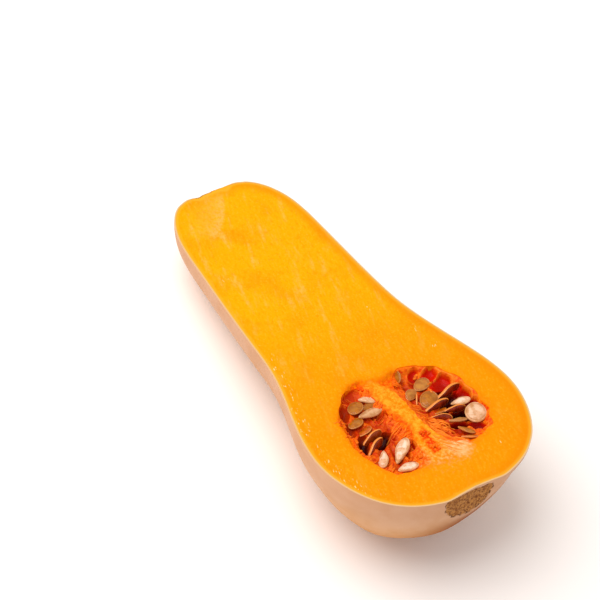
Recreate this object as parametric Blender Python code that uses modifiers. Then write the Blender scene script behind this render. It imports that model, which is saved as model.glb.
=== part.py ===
"""Half of a butternut squash, cut lengthwise and lying on its round back with the cut face up.

The squash has a frame of its own: u runs along its axis from the stem end to the blossom end,
v runs across the cut face, and w stands out of the cut face, which is the plane w = 0.
The half is then leaned and lifted, so that its neck and its bulb both touch the surface z = 0.
"""

import math

import bmesh
import bpy
from mathutils import Matrix, Vector

MM = 0.001

# The outline of the cut face: (distance from the stem end, radius), in millimetres. It starts with
# the round scar of the stem in its groove, and ends with the dimple round the blossom scar.
OUTLINE = (
    (0.8, 0.0),
    (1.0, 5.5),
    (2.3, 8.5),
    (0.6, 12.0),
    (0.2, 15.5),
    (1.5, 20.0),
    (3.6, 24.2),
    (8.0, 28.8),
    (15.0, 33.3),
    (25.0, 37.1),
    (38.0, 39.3),
    (56.0, 40.6),
    (80.0, 42.1),
    (104.0, 43.6),
    (122.0, 45.1),
    (136.0, 47.5),
    (150.0, 51.2),
    (164.0, 55.6),
    (178.0, 59.5),
    (190.0, 61.6),
    (200.0, 61.9),
    (210.0, 60.4),
    (221.0, 56.6),
    (231.0, 50.8),
    (238.0, 44.3),
    (243.3, 37.0),
    (246.8, 29.6),
    (249.0, 22.6),
    (250.0, 17.0),
    (249.4, 9.0),
    (248.9, 0.0),
)
RING_SPACING = 7.5  # along the outline, between the rings of the turned body
TURN_STEPS = 52  # round the whole fruit, so half of them go round this half
SAME_RING = 0.01  # the Screw's points nearer each other than this are one
WAIST = 110.0  # where the neck ends and the bulb begins
BULB_STRAIGHT = 155.0  # from here on the axis is straight
SWAY = 1.1  # how far the neck wanders off the straight axis
SWAY_START = 20.0  # where it is furthest to the back
SWAY_HALF_WAVE = 92.0  # from there to where it is furthest to the front
FLAT_DEPTH = 0.8  # how far the two resting spots are pressed in
ROOM = 90.0  # that the blocks which cut the squash reach past its axis

# The seed cavity is a front and a back lobe, with a wall of flesh left between them.
LOBE_DEPTH = 30.0
LOBE_ABOVE = 8.0  # how far a lobe's cutter stands above the cut face
LOBES = {
    # name: (side, u of its middle, half length, then how far from the squash's axis lie
    # the wall between the lobes, the lobe's own axis and its outer wall)
    "back": (1, 191.5, 28.5, 3.0, 14.0, 39.5),
    "front": (-1, 192.5, 30.5, 8.0, 17.0, 36.0),
}
LOBE_LEAN = 6.0  # how far the outer wall is shifted to the blossom end
SQUARENESS = 2.6  # of a lobe's outline: 2 is an ellipse, and more fills its corners
LOBE_SEGMENTS = 40
LOBE_RINGS = 14
ON_EQUATOR = 0.0001  # what counts as level with the middle of a unit sphere

# The pulp fills each lobe to a ribbed, sunken top, and the seeds grow out of it.
PULP_GAP = 0.4
SEED_GAP = 0.28  # seeds that reach the flesh end this far before it
PULP_RIM = 1.0  # how far the pulp's top is sunk below the cut face at its rim
PULP_SUNK = 6.0  # and in its middle
RIB_HEIGHT = 1.1
RIBS = 10  # round a lobe
# The hollows that lost seeds have left: (u, v, w, length, width, depth, heading). Lengths are whole.
HOLLOWS = {
    "back": (
        (169.5, 20.5, -4.0, 8, 5, 8, 120),
        (173.0, 26.5, -4.0, 10, 6, 9, 110),
        (180.5, 29.0, -4.5, 12, 8, 11, 105),
        (184.5, 33.3, -4.0, 7, 4, 8, 95),
        (191.0, 33.2, -4.5, 9, 8, 11, 92),
        (194.0, 24.0, -6.5, 15, 5, 11, 92),
        (201.5, 24.5, -7.0, 18, 6, 12, 80),
        (199.5, 34.8, -4.0, 6, 6, 8, 85),
        (214.0, 26.5, -4.0, 11, 6, 9, 40),
    ),
    "front": (
        (167.5, -18.5, -4.0, 12, 6, 10, 102),
        (174.5, -27.0, -4.0, 9, 4, 9, -35),
        (187.5, -13.8, -4.0, 8, 4, 8, 110),
        (197.0, -20.0, -6.0, 14, 7, 11, 120),
        (196.5, -30.3, -5.0, 12, 5, 11, 150),
        (208.5, -13.0, -4.5, 8, 4, 9, 125),
    ),
}
HOLLOW_SEGMENTS = 10
HOLLOW_RINGS = 6
# The seeds: (u, v, w of the middle, heading, dip, roll, length). The heading is the way the round
# end points across the cut face, the dip is how far it points down, and a roll of 90 stands the
# seed on its edge. Angles are in degrees.
SEEDS = {
    "back": (
        (166.0, 11.5, -4.5, 160, -5, 70, 10),
        (175.0, 20.5, -5.0, 112, -10, -5, 13),
        (180.0, 9.5, -5.5, 116, -5, 10, 11),
        (182.5, 12.0, -5.5, 142, 0, 88, 11),
        (185.0, 17.0, -5.2, 143, 0, 0, 13),
        (185.5, 31.0, -5.7, 100, 0, 78, 17),
        (191.0, 19.5, -5.7, 95, 0, 75, 16),
        (195.5, 18.5, -5.7, 93, 0, 75, 13),
        (196.5, 30.5, -4.2, 78, -5, -20, 13),
        (200.0, 17.0, -5.2, 65, 0, 60, 13),
        (200.5, 26.5, -7.0, 84, 0, 75, 15),
        (205.0, 22.0, -5.2, 75, 0, 70, 14),
        (205.5, 33.0, -4.2, -35, 0, 0, 15),
        (210.5, 25.0, -5.2, 72, 0, 78, 13),
        (214.0, 20.5, -4.4, 40, 0, 40, 12),
        (218.5, 20.5, -4.6, 70, 0, 80, 10),
    ),
    "front": (
        (172.0, -11.5, -4.2, 70, 0, -25, 13),
        (174.5, -11.0, -7.0, 72, 0, 60, 12),
        (174.5, -21.5, -4.8, 145, 0, -20, 12),
        (180.5, -16.0, -4.2, 85, 0, -15, 14),
        (182.0, -26.0, -5.4, 145, 0, -30, 11),
        (188.0, -24.0, -6.2, 150, 0, -35, 11),
        (191.5, -22.5, -5.6, 103, 0, 78, 15),
        (198.0, -26.0, -6.0, 117, 0, 75, 16),
        (208.5, -17.5, -4.6, 130, -10, 0, 17),
        (208.5, -27.5, -5.2, -40, 0, 50, 13),
        (219.0, -21.0, -4.0, 86, 0, -15, 13),
    ),
}
SAME_PLACE = 0.005  # points nearer each other than this are one
SEED_WIDTH = 0.6  # of its length
SEED_THICKNESS = 0.21
SEED_SEGMENTS = 8
SEED_RINGS = 7
POINTEDNESS = 0.45  # how much narrower a seed is at its pointed end

RIND = ("rind", (0.80, 0.55, 0.34), 0.5)
FLESH = ("flesh", (0.98, 0.52, 0.05), 0.4)
PULP = ("pulp", (0.86, 0.30, 0.05), 0.35)


def clear_scene():
    """Remove what the scene starts with."""
    for obj in list(bpy.data.objects):
        bpy.data.objects.remove(obj)


def collection(name):
    """A new collection in the scene."""
    made = bpy.data.collections.new(name)
    bpy.context.scene.collection.children.link(made)
    return made


def material(name, colour, roughness):
    """A plain finish of one colour, with its linear values."""
    made = bpy.data.materials.new(name)
    made.use_nodes = True
    shader = made.node_tree.nodes["Principled BSDF"]
    shader.inputs["Base Color"].default_value = (*colour, 1.0)
    shader.inputs["Roughness"].default_value = roughness
    shader.inputs["Metallic"].default_value = 0.0
    return made


def face_outwards(bm):
    """Turn the faces of a closed body outwards, also after its points were mirrored."""
    bm.normal_update()
    bmesh.ops.recalc_face_normals(bm, faces=bm.faces)
    bm.normal_update()


def object_from(bm, name, where):
    """An object with this bmesh, in a collection."""
    mesh = bpy.data.meshes.new(name)
    face_outwards(bm)
    bm.to_mesh(mesh)
    bm.free()
    obj = bpy.data.objects.new(name, mesh)
    where.objects.link(obj)
    return obj


def evaluated_mesh(obj):
    """The object's mesh with its modifiers applied."""
    graph = bpy.context.evaluated_depsgraph_get()
    return bpy.data.meshes.new_from_object(obj.evaluated_get(graph))


def mix(a, b, share):
    """From a at share 0 to b at share 1."""
    return a + (b - a) * share


def smooth_step(low, high, value):
    """0 below low, 1 above high, with a smooth rise between."""
    share = min(1.0, max(0.0, (value - low) / (high - low)))
    return share * share * (3.0 - 2.0 * share)


def outline_points():
    """Points every RING_SPACING or less on a smooth curve through the outline's stations."""
    stations = [Vector(s) for s in OUTLINE]
    stations = [2 * stations[0] - stations[1], *stations, 2 * stations[-1] - stations[-2]]
    points = []
    for before, start, end, after in zip(stations, stations[1:], stations[2:], stations[3:]):
        steps = max(1, math.ceil((end - start).length / RING_SPACING))
        for step in range(steps):
            t = step / steps
            points.append(
                0.5
                * (
                    2 * start
                    + (end - before) * t
                    + (2 * before - 5 * start + 4 * end - after) * t**2
                    + (3 * start - before - 3 * end + after) * t**3
                )
            )
    points.append(Vector(OUTLINE[-1]))
    return points


def sway(u):
    """How far the axis of the neck lies to the side at u. The bulb is straight."""
    wave = math.cos(math.pi * (u - SWAY_START) / SWAY_HALF_WAVE)
    return SWAY * wave * (1.0 - smooth_step(WAIST, BULB_STRAIGHT, u))


def resting_lean():
    """The angle at which the neck and the bulb touch one flat surface."""
    points = outline_points()
    neck = [p for p in points if p.x < WAIST]
    bulb = [p for p in points if p.x >= WAIST]
    return math.atan(min(max((b.y - n.y) / (b.x - n.x) for b in bulb) for n in neck))


def turned_body(where):
    """The whole fruit: its outline turned about the axis, with the neck's slight sway."""
    bm = bmesh.new()
    ring = [bm.verts.new((p.y * MM, 0.0, -p.x * MM)) for p in outline_points()]
    for above, below in zip(ring, ring[1:]):
        bm.edges.new((above, below))
    mesh = bpy.data.meshes.new("outline")
    bm.to_mesh(mesh)
    bm.free()
    profile = bpy.data.objects.new("outline", mesh)
    where.objects.link(profile)
    screw = profile.modifiers.new("turn", "SCREW")
    screw.axis = "Z"
    screw.steps = screw.render_steps = TURN_STEPS
    screw.use_merge_vertices = True
    screw.merge_threshold = SAME_RING * MM
    body = bpy.data.objects.new("squash_half", evaluated_mesh(profile))
    bpy.data.objects.remove(profile)
    along_u = Matrix(((0, 0, -1, 0), (0, 1, 0, 0), (1, 0, 0, 0), (0, 0, 0, 1)))
    half_step = Matrix.Rotation(math.pi / TURN_STEPS, 4, "X")  # no points in the cut's plane
    body.data.transform(half_step @ along_u)
    for vertex in body.data.vertices:
        vertex.co.y += sway(vertex.co.x / MM) * MM
    body.data.shade_smooth()
    where.objects.link(body)
    return body


def box(name, low, high, where):
    """A block between two corners, in millimetres."""
    bm = bmesh.new()
    bmesh.ops.create_cube(bm, size=1.0)
    low, high = Vector(low), Vector(high)
    for vertex in bm.verts:
        vertex.co = Vector(mix(a, b, c + 0.5) for a, b, c in zip(low, high, vertex.co)) * MM
    return object_from(bm, name, where)


def lobe_place(lobe, along, across, up):
    """A place in a lobe, from shares of its size: the unit sphere fills the lobe."""
    side, middle, half_length, inner, axis, outer = LOBES[lobe]
    norm = outline_norm(along, across)
    full = math.hypot(along, across) / norm if norm else 1.0
    along, across = along * full, across * full
    u = middle + half_length * along + LOBE_LEAN * max(across, 0.0)
    v = axis + across * (outer - axis if across > 0 else axis - inner)
    w = up * (LOBE_ABOVE if up > 0 else LOBE_DEPTH)
    return Vector((u, side * v, w))


def outline_norm(along, across):
    """1 on a lobe's outline, and less inside it."""
    return (abs(along) ** SQUARENESS + abs(across) ** SQUARENESS) ** (1.0 / SQUARENESS)


def lobe_blob(name, lobe, gap, where, topped=False):
    """A closed body that fills a lobe, drawn in by a gap, and with the pulp's top if topped."""
    bm = bmesh.new()
    bmesh.ops.create_uvsphere(
        bm, u_segments=LOBE_SEGMENTS, v_segments=LOBE_RINGS, radius=1.0
    )
    for vertex in bm.verts:
        along, across, up = vertex.co
        place = lobe_place(lobe, along, across, up)
        if topped and up > -ON_EQUATOR:
            place.z = pulp_top(along, across)
        vertex.co = place * MM
    face_outwards(bm)
    moves = [(vertex, vertex.normal * gap * MM) for vertex in bm.verts]
    for vertex, move in moves:
        vertex.co -= move
    return object_from(bm, name, where)


def pulp_top(along, across):
    """The height of the pulp's top: sunk in the middle, with ribs that run to the lobe's wall."""
    reach = math.hypot(along, across)
    sunk = mix(PULP_SUNK, PULP_RIM, smooth_step(0.8, 1.0, reach))
    ribbed = smooth_step(0.1, 0.5, reach) - smooth_step(0.8, 1.0, reach)
    return RIB_HEIGHT * ribbed * math.cos(RIBS * math.atan2(across, along)) - sunk


def ball(name, segments, rings, shape, where):
    """A ball whose points, on a unit sphere, are each moved by a rule that gives millimetres."""
    bm = bmesh.new()
    bmesh.ops.create_uvsphere(bm, u_segments=segments, v_segments=rings, radius=1.0)
    for vertex in bm.verts:
        vertex.co = shape(*vertex.co) * MM
    return object_from(bm, name, where)


def seed_body(seed, where):
    """One flat seed: a lens, narrower at its pointed end, placed and turned."""
    u, v, w, heading, dip, roll, length = seed
    turn = (
        Matrix.Rotation(math.radians(heading), 3, "Z")
        @ Matrix.Rotation(math.radians(dip), 3, "Y")
        @ Matrix.Rotation(math.radians(roll), 3, "X")
    )

    def shape(thick, wide, along):
        width = 1.0 - POINTEDNESS * (1.0 - smooth_step(-1.0, 0.3, along))
        flat = Vector((along, wide * width * SEED_WIDTH, thick * SEED_THICKNESS))
        return turn @ flat * length / 2 + Vector((u, v, w))

    return ball("seed", SEED_SEGMENTS, SEED_RINGS, shape, where)


def hollow_body(hollow, where):
    """The cutter for one hollow: a ball stretched along its heading."""
    u, v, w, length, width, depth, heading = hollow
    turn = Matrix.Rotation(math.radians(heading), 3, "Z")

    def shape(x, y, z):
        return turn @ Vector((x * length, y * width, z * depth)) / 2 + Vector((u, v, w))

    return ball("hollow", HOLLOW_SEGMENTS, HOLLOW_RINGS, shape, where)


def boolean(obj, operation, name, other, solver="EXACT"):
    """Cut or join an object with another object, or with every object of a collection."""
    made = obj.modifiers.new(name, "BOOLEAN")
    made.operation = operation
    made.solver = solver
    if isinstance(other, bpy.types.Collection):
        made.operand_type = "COLLECTION"
        made.collection = other
    else:
        made.object = other


def apply_booleans(obj, spent):
    """Make the modifiers' result the object's mesh, and remove the objects it was made with."""
    mesh = evaluated_mesh(obj)
    obj.modifiers.clear()
    obj.data = mesh
    for other in spent:
        bpy.data.objects.remove(other)


def joined(bodies, where):
    """One object in place of several that may overlap each other."""
    first, *others = bodies
    group = collection("to_join")
    for other in others:
        where.objects.unlink(other)
        group.objects.link(other)
    boolean(first, "UNION", "join", group)
    apply_booleans(first, others)
    bpy.data.collections.remove(group)
    return first


def clean(obj):
    """Keep only the largest body, and join its points that all but meet."""
    bm = bmesh.new()
    bm.from_mesh(obj.data)
    unseen = set(bm.verts)
    largest = set()
    while unseen:
        body = {unseen.pop()}
        edge_of_body = list(body)
        while edge_of_body:
            vertex = edge_of_body.pop()
            near = {edge.other_vert(vertex) for edge in vertex.link_edges} & unseen
            unseen -= near
            body |= near
            edge_of_body.extend(near)
        largest = max(largest, body, key=len)
    scraps = [vertex for vertex in bm.verts if vertex not in largest]
    bmesh.ops.delete(bm, geom=scraps, context="VERTS")
    bmesh.ops.remove_doubles(bm, verts=bm.verts, dist=SAME_PLACE * MM)
    bm.to_mesh(obj.data)
    bm.free()


def seed_bed(lobe, where):
    """The pulp that fills one lobe, with its hollows, and its seeds grown into it, as one body."""
    bed = lobe_blob(f"seed_bed_{lobe}", lobe, PULP_GAP, where, topped=True)
    hollows = joined([hollow_body(hollow, where) for hollow in HOLLOWS[lobe]], where)
    seeds = joined([seed_body(seed, where) for seed in SEEDS[lobe]], where)
    limit = lobe_blob("limit", lobe, SEED_GAP, where)
    boolean(bed, "DIFFERENCE", "hollows", hollows, "MANIFOLD")
    boolean(bed, "UNION", "seeds", seeds, "MANIFOLD")
    boolean(bed, "INTERSECT", "inside the lobe", limit, "MANIFOLD")
    apply_booleans(bed, [hollows, seeds, limit])
    clean(bed)
    return bed


def cut_flesh(body, name, cutter, rest):
    """Cut the body, and give what the cut bares the finish of flesh, its second one."""
    boolean(body, "DIFFERENCE", name, cutter)
    for finish in body.data.materials:
        cutter.data.materials.append(finish)
    for face in cutter.data.polygons:
        face.material_index = 1
    cutter.hide_render = True
    cutter.display_type = "WIRE"
    cutter.parent = rest


def middle_in_plan(obj):
    """The middle of an object's box, seen from above, after its modifiers."""
    bpy.context.view_layer.update()
    finished = obj.evaluated_get(bpy.context.evaluated_depsgraph_get())
    corners = [finished.matrix_world @ vertex.co for vertex in finished.data.vertices]
    spans = [[corner[axis] for corner in corners] for axis in (0, 1)]
    return Vector([(min(span) + max(span)) / 2 for span in spans] + [0.0])


def main():
    clear_scene()
    squash = collection("butternut_squash_half")
    cutters = collection("cutters")
    rest = bpy.data.objects.new("lying_on_its_back", None)
    squash.objects.link(rest)

    body = turned_body(squash)
    body.parent = rest
    body.data.materials.clear()
    for finish in (RIND, FLESH):
        body.data.materials.append(material(*finish))
    length = OUTLINE[-1][0]
    other_half = box("other_half", (-ROOM, -ROOM, 0), (length + ROOM, ROOM, ROOM), cutters)
    cut_flesh(body, "lengthwise cut", other_half, rest)
    for lobe in LOBES:
        hollow = lobe_blob(f"lobe_{lobe}", lobe, 0.0, cutters)
        cut_flesh(body, f"{lobe} lobe", hollow, rest)
        bed = seed_bed(lobe, squash)
        bed.data.materials.clear()
        bed.data.materials.append(material(*PULP))
        bed.data.shade_smooth()
        bed.parent = rest

    lean = resting_lean()
    lowest = min(p.x * math.sin(lean) - p.y * math.cos(lean) for p in outline_points())
    rest.rotation_euler = (0.0, -lean, 0.0)
    rest.location = (0.0, 0.0, (-lowest - FLAT_DEPTH) * MM)
    surface = box("surface", (-length, -ROOM, -ROOM), (2 * length, ROOM, 0), cutters)
    boolean(body, "DIFFERENCE", "resting spots", surface)
    surface.hide_render = True
    surface.display_type = "WIRE"
    rest.location -= middle_in_plan(body)
    bpy.context.view_layer.update()
    print(f"lean {math.degrees(lean):.3f} degrees")
    print(f"the squash frame's origin is at {tuple(round(c / MM, 3) for c in rest.location)} mm")


main()
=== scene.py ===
# %% [markdown]
# # Half a butternut squash
# The squash was cut lengthwise and lies on its round back with the cut face up. Its looks come
# from four things: a thin beige rind, dense orange flesh, wet red pulp in two hollows beside a
# ridge, and flat seeds that stand in the pulp. The imported CAD model gives the frame. It is loaded
# first, and the finer pieces made here are shaped to lie inside its box. The finer pieces made here
# must stay inside it.
# %% Load the frame
import math
import random
from functools import partial

import bmesh
import bpy
import numpy as np
from mathutils import Matrix, Vector, noise


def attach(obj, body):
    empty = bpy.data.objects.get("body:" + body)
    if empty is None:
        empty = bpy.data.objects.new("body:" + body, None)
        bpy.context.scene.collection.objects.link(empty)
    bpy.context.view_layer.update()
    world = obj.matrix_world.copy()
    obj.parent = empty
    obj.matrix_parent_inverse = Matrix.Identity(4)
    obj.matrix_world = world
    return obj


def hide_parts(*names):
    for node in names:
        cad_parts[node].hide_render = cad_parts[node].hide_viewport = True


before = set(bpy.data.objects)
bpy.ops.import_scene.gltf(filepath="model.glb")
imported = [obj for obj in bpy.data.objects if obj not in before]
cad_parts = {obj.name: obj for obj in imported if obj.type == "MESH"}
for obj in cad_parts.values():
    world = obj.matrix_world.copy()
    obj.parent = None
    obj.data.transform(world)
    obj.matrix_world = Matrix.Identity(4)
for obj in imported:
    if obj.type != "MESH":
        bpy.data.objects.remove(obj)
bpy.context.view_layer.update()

MM = 0.001

# %% [markdown]
# ## The squash's own frame
# A squash is easiest to describe along its own axis: u runs from the stem end to the blossom end,
# v runs across the cut face, and w stands out of it. All shapes below are made in millimetres in
# that frame. The half lies leaned, because its bulb is thicker than its neck, so one matrix
# takes each finished mesh to its place. The mesh keeps the old coordinates as an attribute
# named "place", which the materials read, so that a pattern can follow the fruit.
# %% Where the squash lies
LEAN = math.radians(8.323)
ORIGIN = Vector((-125.011, 0, 32.665))
REST = Matrix.Translation(ORIGIN) @ Matrix.Rotation(-LEAN, 4, "Y")


def to_world(points):
    """Points of the squash's frame, in the frame of the CAD model, all in millimetres."""
    return np.asarray(points) @ np.array(REST.to_3x3()).T + np.array(ORIGIN)


# %% [markdown]
# ## The camera
# The camera stands where the photograph was taken from, seen from the squash: it was found by
# matching the outline of the cut face. It looks down on the face from beyond the blossom end,
# through a long lens, which is why the neck hardly looks smaller than it is.
# %% Place the camera
CAMERA_PLACE = Vector((766.15, -570, 854.15))
CAMERA_AXES = Matrix(((0.5613, -0.621, 0.547), (0.821, 0.3345, -0.4627), (0.1043, 0.7088, 0.6976)))
FOCAL_PIXELS = 2279
IMAGE_PIXELS = 600
SENSOR = 36


def new_object(name, data):
    """An object in the scene, from its data."""
    made = bpy.data.objects.new(name, data)
    bpy.context.scene.collection.objects.link(made)
    return made


camera_data = bpy.data.cameras.new("camera")
camera_data.sensor_width = SENSOR
camera_data.lens = SENSOR * FOCAL_PIXELS / IMAGE_PIXELS
camera = new_object("camera", camera_data)
camera.matrix_world = Matrix.LocRotScale(
    (REST @ CAMERA_PLACE) * MM, REST.to_3x3() @ CAMERA_AXES, None
)
bpy.context.scene.camera = camera
print(f"lens {camera_data.lens:.1f} mm, {camera.location.length:.2f} m from the squash")

# %% [markdown]
# ## Light and floor
# A product photograph like this one has a large soft light from the upper left and white walls
# all round that fill the shadows. An area light makes the first, and an even pale world
# the second. The floor is a plain white sheet that runs far past the picture's edges.
# %% Lights and world
KEY_SIZE, KEY_DISTANCE = 1.8, 1.7  # metres
KEY_POWER = 27  # watts
KEY_WAY = (-0.44, 0.9, 0.95)  # how far right, up and back it stands, seen from the camera
WORLD_STRENGTH = 0.7


def linear(code, alpha=1):
    """An sRGB colour such as #ffb508 as the linear values that Blender's shaders take."""
    parts = [int(code[i : i + 2], 16) / 255 for i in (1, 3, 5)]
    return (*(p / 12.92 if p <= 0.04045 else ((p + 0.055) / 1.055) ** 2.4 for p in parts), alpha)


key_data = bpy.data.lights.new("key_light", "AREA")
key_data.shape = "DISK"
key_data.size = KEY_SIZE
key_data.energy = KEY_POWER
key_data.color = linear("#fffdfb")[:3]
key_light = new_object("key_light", key_data)
key_way = (camera.matrix_world.to_3x3() @ Vector(KEY_WAY)).normalized()
key_light.location = key_way * KEY_DISTANCE
key_light.rotation_euler = key_way.to_track_quat("Z", "Y").to_euler()

world = bpy.data.worlds.new("pale_studio")
world.use_nodes = True
sky = world.node_tree.nodes["Background"]
sky.inputs["Color"].default_value = linear("#fff5ee")
sky.inputs["Strength"].default_value = WORLD_STRENGTH
bpy.context.scene.world = world
bpy.context.scene.view_settings.view_transform = "Standard"

# %% [markdown]
# ## Helpers for materials
# A procedural material is a small tree of nodes. One function adds any node: values fill its
# inputs in order, and a named value goes to the input of that name, or to a property of the node
# where the name starts with a small letter. A node given as a value stands for its first output,
# and a text such as #ffb508 for that colour.
# %% Nodes
COLOUR = {"data_type": "RGBA"}  # a Mix node for two colours: how much of the second, first, second
SMOOTH = {"interpolation_type": "SMOOTHSTEP"}  # a Map Range node whose way from end to end is soft
TIMES = {"operation": "MULTIPLY"}  # a Math node that multiplies
SIZED = {"vector_type": "TEXTURE"}  # a Mapping node whose scale is the size of a mark


def add_node(tree, kind, *values, **settings):
    """Add a node with its settings and links."""
    node = tree.nodes.new("ShaderNode" + kind)
    for name, value in settings.items():
        if name[0].islower():
            setattr(node, name, value)
    sockets = [socket for socket in node.inputs if socket.enabled]
    named = {socket.name: socket for socket in reversed(sockets)}
    given = list(zip(sockets, values))
    given += [(named[name.replace("_", " ")], v) for name, v in settings.items() if name[0].isupper()]
    for socket, value in given:
        if isinstance(value, str):
            value = linear(value)
        if isinstance(value, bpy.types.Node):
            value = next(output for output in value.outputs if output.enabled)
        if isinstance(value, bpy.types.NodeSocket):
            tree.links.new(value, socket)
        else:
            socket.default_value = value
    return node


def new_material(name):
    """An empty material, and the function that adds nodes to it."""
    made = bpy.data.materials.new(name)
    made.use_nodes = True
    made.node_tree.nodes.clear()
    return made, partial(add_node, made.node_tree)


# %% [markdown]
# Most of what a material does is to lay one colour over another, more in some places than in
# others. How much is a share, and shares multiply: low down, and far to the side, and near the end.
# %% Layers of colour
def read_fields(add, *names):
    """The place of each point, its u, v and w, and the named fields of the mesh."""
    place = add("Attribute", attribute_name="place").outputs["Vector"]
    fields = (add("Attribute", attribute_name=name).outputs["Fac"] for name in names)
    return place, *add("SeparateXYZ", place).outputs, *fields


def product(add, *parts):
    """The product of shares. A tuple is a node, between which values it counts, and from what to what."""
    result = None
    for part in parts:
        if isinstance(part, tuple):
            part = add("MapRange", *part, **SMOOTH)
        result = part if result is None else add("Math", result, part, **TIMES)
    return result


def layered(add, colour, *layers):
    """Lay colours over a first one. Each layer is a colour, and the shares that say where it goes."""
    for laid, *parts in layers:
        colour = add("Mix", product(add, *parts), colour, laid, **COLOUR)
    return colour


def finish_with(add, colour, gloss, bumps, **settings):
    """The shader: its colour, its roughness as a range, and (pattern, height in mm, strength) bumps."""
    relief = {}
    for pattern, height, strength in bumps:
        bump = add("Bump", Height=pattern, Distance=height * MM, Strength=strength, **relief)
        relief = {"Normal": bump}
    shader = add("BsdfPrincipled", colour, Roughness=product(add, gloss), **settings, **relief)
    add("OutputMaterial", shader)


# %% [markdown]
# ## The floor
# Matt white paper: it has no gloss to speak of, so that it only carries the soft shadow.
# %% White paper
FLOOR_REACH = 6  # metres
PAPER_CLOUD = 0.2  # metres: the faint unevenness of a sheet

paper, add = new_material("white_paper")
grey = add("TexNoise", add("NewGeometry"), Scale=1 / PAPER_CLOUD)
shade = add("Mix", grey, "#fbfafa", "#fdfcfc", **COLOUR)
add("OutputMaterial", add("BsdfPrincipled", shade, Roughness=0.9, Specular_IOR_Level=0.2))
sheet = bpy.data.meshes.new("floor")
corners = [(x * FLOOR_REACH, y * FLOOR_REACH, 0) for x, y in ((-1, -1), (1, -1), (1, 1), (-1, 1))]
sheet.from_pydata(corners, [], [(0, 1, 2, 3)])
sheet.materials.append(paper)
floor = new_object("floor", sheet)

# %% [markdown]
# ## The outline
# The half is a body turned about its axis: a neck, a round bulb, a groove round the stem's scar
# and a dimple round the blossom's. The stations are the CAD model's own, and a Catmull-Rom curve
# runs through them, here with closer points.
# %% The outline and the axis
OUTLINE = (
    (0.8, 0), (1, 5.5), (2.3, 8.5), (0.6, 12), (0.2, 15.5), (1.5, 20), (3.6, 24.2),
    (8, 28.8), (15, 33.3), (25, 37.1), (38, 39.3), (56, 40.6), (80, 42.1),
    (104, 43.6), (122, 45.1), (136, 47.5), (150, 51.2), (164, 55.6), (178, 59.5),
    (190, 61.6), (200, 61.9), (210, 60.4), (221, 56.6), (231, 50.8), (238, 44.3),
    (243.3, 37), (246.8, 29.6), (249, 22.6), (250, 17), (249.4, 9), (248.9, 0),
)
OUTLINE_SPACING = 1.6
SCAR_SPACING, SCAR_REACH = 0.6, 23  # closer, for the corky scars at both ends
SWAY = 1.1
INSIDE_BOX = 0.15  # the turned CAD body has flat sides, and this keeps a rounder one inside its box


def ease(low, high, value):
    """0 below low, 1 above high, with a smooth rise between."""
    share = np.clip((value - low) / (high - low), 0, 1)
    return share * share * (3 - 2 * share)


def through(stations, spacing, close_below=0):
    """Points on a Catmull-Rom curve through the stations, closer where the second number is small."""
    s = np.array(stations, float)
    s = np.vstack((2 * s[0] - s[1], s, 2 * s[-1] - s[-2]))
    points = []
    for before, start, end, after in zip(s, s[1:], s[2:], s[3:]):
        close = max(start[1], end[1]) < close_below
        steps = max(1, math.ceil(np.linalg.norm(end - start) / (SCAR_SPACING if close else spacing)))
        t = (np.arange(steps) / steps)[:, None]
        bend = (2 * before - 5 * start + 4 * end - after) * t**2
        bend += (3 * start - before - 3 * end + after) * t**3
        points.append(0.5 * (2 * start + (end - before) * t + bend))
    return np.vstack([*points, s[-2:-1]])


def grain(points, size, seed=0, octaves=3):
    """Smooth noise between about -1 and 1 at each point, with marks of a size in millimetres."""
    shift = Vector((seed, 2.3 * seed, -1.7 * seed))
    return np.array(
        [noise.fractal(Vector(p) / size + shift, 1, 2, octaves) for p in np.asarray(points).tolist()]
    )


def drawn_in(profile, depth):
    """A profile moved inwards, at right angles to itself."""
    along = np.gradient(profile, axis=0)
    along /= np.linalg.norm(along, axis=1)[:, None]
    moved = profile + np.stack((along[:, 1], -along[:, 0]), axis=1) * depth
    moved[[0, -1], 1] = 0
    return moved


def sway(u):
    """How far the axis of the neck lies to the side at u. The bulb is straight."""
    return SWAY * np.cos(np.pi * (u - 20) / 92) * (1 - ease(110, 155, u))


outline = through(OUTLINE, OUTLINE_SPACING, SCAR_REACH)
outer = drawn_in(outline, INSIDE_BOX)
print(f"{len(outline)} points on the outline")

# %% What isn't quite round
STEM_END, BLOSSOM_START = 10, 240  # the scars lie beyond these
TUCK, FULLER, SLIMMER = 2.6, 1.3, 1.1  # how far the bulb is drawn in, swollen and pressed


def stem_groove(u, r, angle):
    """The groove round the stem's scar is nearly closed on one side, and shallow on the other."""
    filled = 0.5 + 0.42 * ease(-0.5, 0.5, np.cos(angle))
    near = ease(15.5, 12, r) * (u < STEM_END)
    return u - (u - 0.45) * filled * near


def tucked(points):
    """The half isn't quite round: one side of the blossom end is drawn in, and the other is fuller."""
    u, v, w = points.T
    tuck = TUCK * ease(208, 240, u) * ease(-22, 18, v) * ease(-1, -13, w)
    tuck *= ease(12, 27, np.hypot(v, w))
    fuller = FULLER * np.exp(-(((u - 226) / 13) ** 2) - ((v + 38) / 14) ** 2)
    fuller *= ease(-10, -30, w)
    slimmer = SLIMMER * np.exp(-(((u - 195) / 16) ** 2) - ((w + 30) / 14) ** 2)
    slimmer *= ease(-20, -45, v)
    outwards = np.stack((0 * u, v, w), axis=1) / np.maximum(np.hypot(v, w), 1)[:, None]
    inwards = np.array((-0.75, -0.45, 0.48))
    return points + tuck[:, None] * inwards + (fuller - slimmer)[:, None] * outwards


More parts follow.
